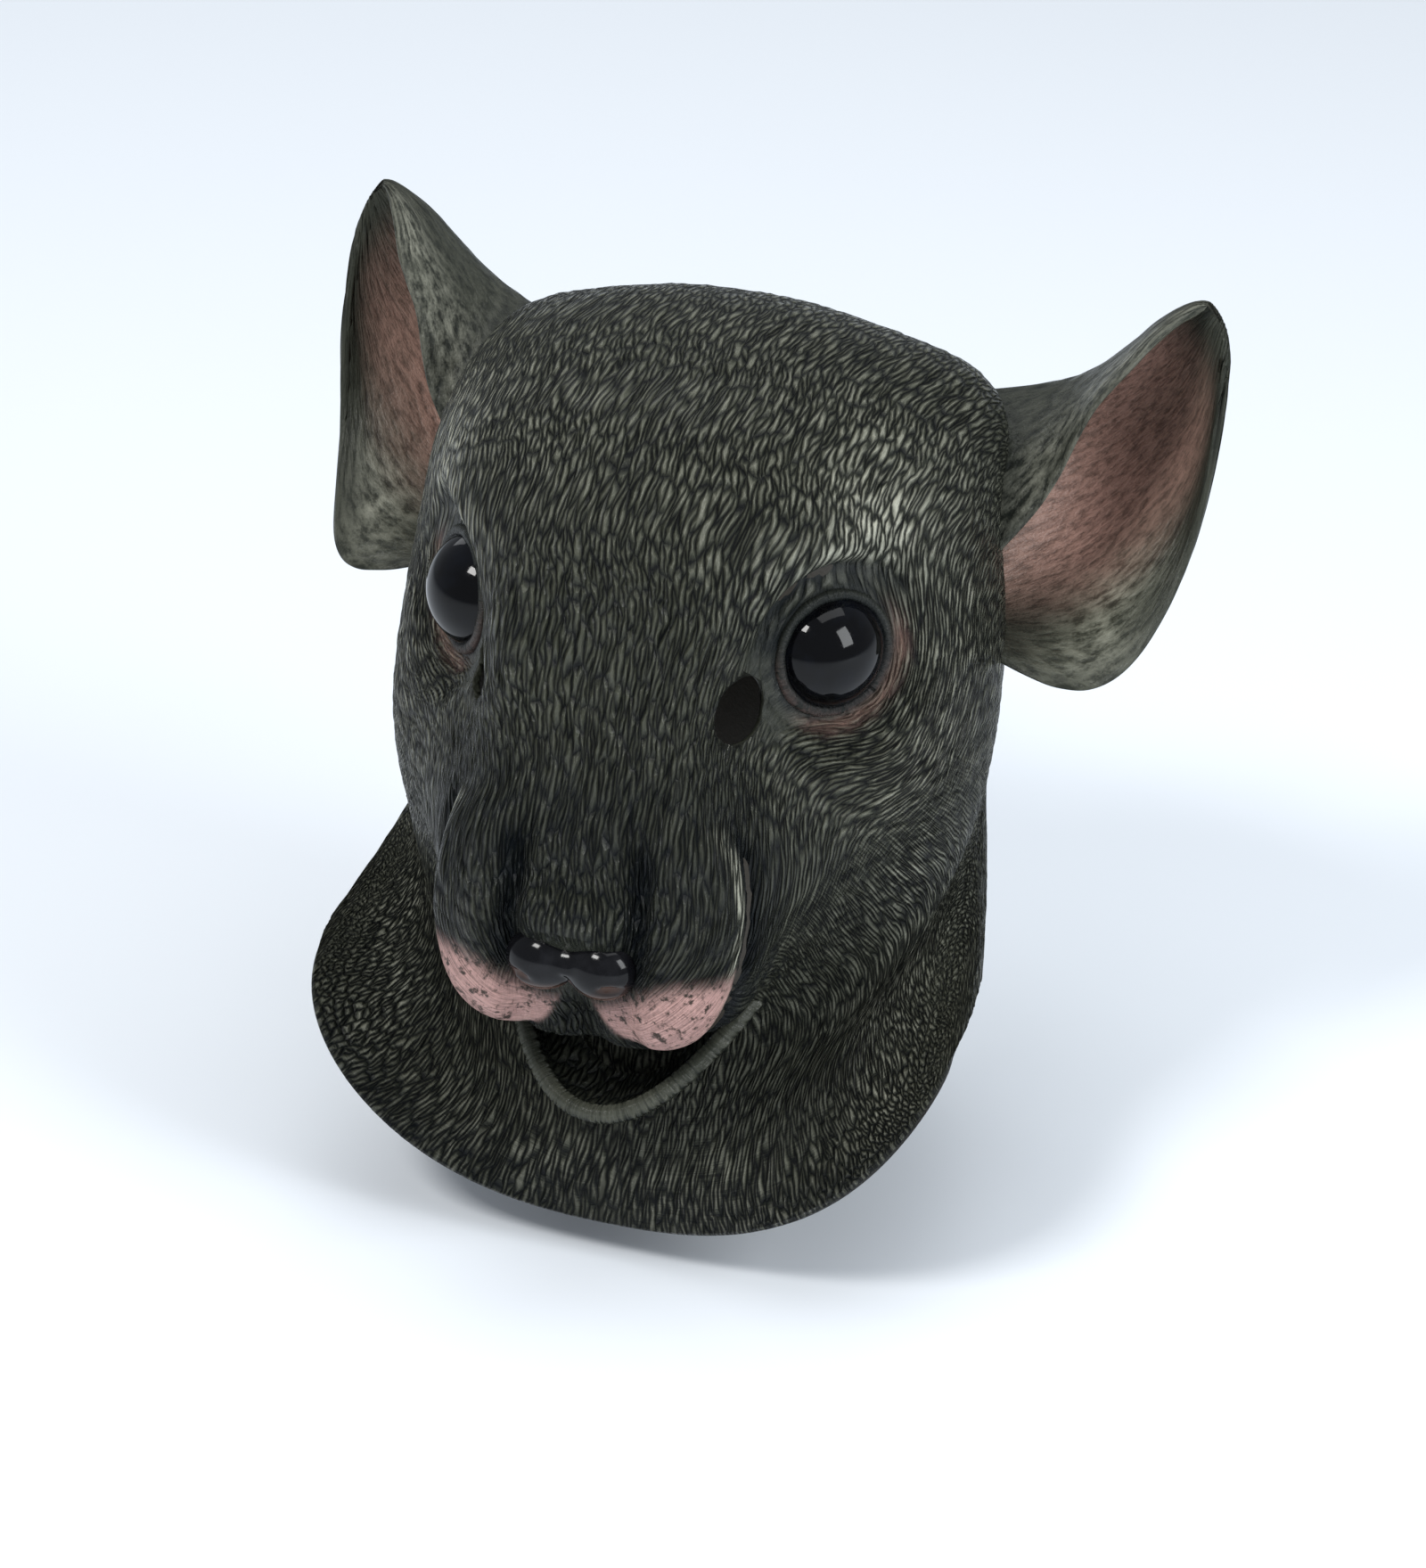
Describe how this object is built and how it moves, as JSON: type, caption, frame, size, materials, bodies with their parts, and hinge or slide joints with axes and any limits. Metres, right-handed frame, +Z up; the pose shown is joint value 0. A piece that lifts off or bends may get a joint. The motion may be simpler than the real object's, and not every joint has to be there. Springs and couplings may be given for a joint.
{
  "type": "full-head rubber rat mask",
  "caption": "Hollow latex animal mask with cupped ears, domed eyes, a nose pad, an open mouth and a neck bib, pulled over the head.",
  "frame": {"origin": "inner top of the crown, where the mask rests on the wearer's head", "axes": "+Z up, the face looks along -Y, +X towards the wearer's left ear"},
  "size_m": [0.364, 0.2632, 0.337],
  "materials": {
    "latex_skin": "moulded latex with combed fur strokes, charcoal, dry-brushed grey on the high spots",
    "nose_gloss": "black latex under clear gloss",
    "eye_gloss": "polished black dome"
  },
  "bodies": {
    "root": {"mask_skin": "latex_skin", "nose_pad": "nose_gloss", "eye_left": "eye_gloss", "eye_right": "eye_gloss"}
  },
  "joints": []
}
